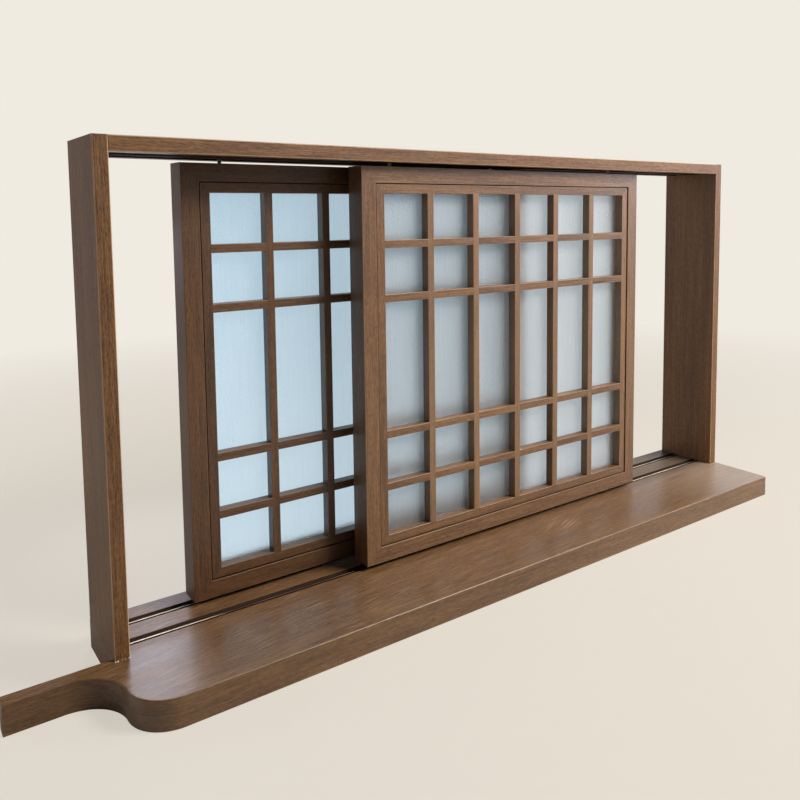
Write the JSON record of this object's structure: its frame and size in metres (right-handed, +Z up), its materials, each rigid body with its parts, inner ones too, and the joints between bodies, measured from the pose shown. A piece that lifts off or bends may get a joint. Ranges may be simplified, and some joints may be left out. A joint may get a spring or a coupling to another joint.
{
  "type": "sliding lattice window",
  "caption": "Wooden window of sliding sashes with frosted glass behind a bar lattice, in a box frame on a deep sill board with an S-curved end.",
  "frame": {"origin": "on the sill board's flat underside, midway between the jambs, in the plane of the jambs' front faces", "axes": "+X along the window to the right seen from the room, +Y from the room into the wall, +Z up"},
  "size_m": [1.544, 0.2795, 0.77],
  "materials": {
    "frame_wood": "satin brown stained lacquer, straight grain",
    "sill_wood": "satin brown stained lacquer, straight grain along the board",
    "sash_wood": "satin brown stained lacquer, straight grain",
    "bead_wood": "satin brown stained lacquer, fine straight grain",
    "frosted_glass": "frosted, pale blue white",
    "bronze_track": "dull bronze, worn on top",
    "roller_steel": "plain zinc-plated",
    "white_nylon": "smooth white nylon"
  },
  "bodies": {
    "root": {"left_jamb": "frame_wood", "right_jamb": "frame_wood", "head_board": "frame_wood", "sill_board": "sill_wood", "front_track": "bronze_track", "rear_track": "bronze_track", "front_left_stile": "sash_wood", "front_right_stile": "sash_wood", "front_top_rail": "sash_wood", "front_bottom_rail": "sash_wood", "front_left_bead": "bead_wood", "front_right_bead": "bead_wood", "front_top_bead": "bead_wood", "front_bottom_bead": "bead_wood", "front_lattice": "bead_wood", "front_glass": "frosted_glass", "front_left_roller": "roller_steel", "front_right_roller": "roller_steel", "front_left_pin": "white_nylon", "front_right_pin": "white_nylon", "rear_left_stile": "sash_wood", "rear_right_stile": "sash_wood", "rear_top_rail": "sash_wood", "rear_bottom_rail": "sash_wood", "rear_left_bead": "bead_wood", "rear_right_bead": "bead_wood", "rear_top_bead": "bead_wood", "rear_bottom_bead": "bead_wood", "rear_lattice": "bead_wood", "rear_glass": "frosted_glass", "rear_left_roller": "roller_steel", "rear_right_roller": "roller_steel", "rear_left_pin": "white_nylon", "rear_right_pin": "white_nylon"}
  },
  "joints": []
}
